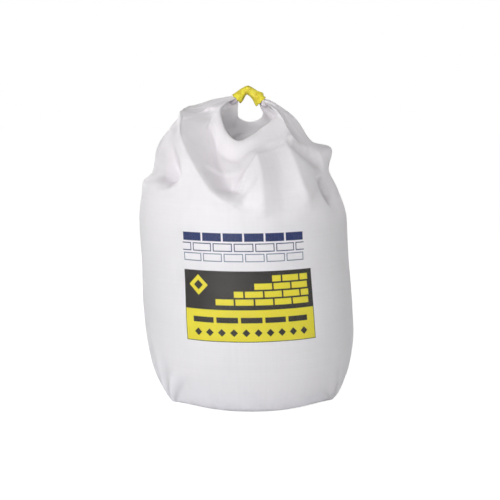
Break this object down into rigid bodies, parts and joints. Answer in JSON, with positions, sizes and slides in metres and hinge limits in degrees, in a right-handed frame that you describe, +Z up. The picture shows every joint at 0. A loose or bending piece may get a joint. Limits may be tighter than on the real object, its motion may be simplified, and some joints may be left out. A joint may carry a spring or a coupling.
{
  "type": "cement bag",
  "caption": "Filled single-loop bulk bag of cement in white woven fabric, standing on its flat sewn base, with a yellow sleeve on the gathered lifting loop.",
  "frame": {"origin": "middle of the flat base, on the floor", "axes": "+Z up through the lifting loop, -Y towards the printed front, +X to the right as seen from the front"},
  "size_m": [0.9847, 0.957, 1.4201],
  "materials": {
    "woven_white": "woven white polypropylene",
    "cement_grey": "cement powder in a thin clear liner",
    "sleeve_yellow": "yellow woven sleeve"
  },
  "bodies": {
    "root": {"woven_bag": "woven_white", "cement_fill": "cement_grey", "loop_sleeve": "sleeve_yellow"}
  },
  "joints": []
}
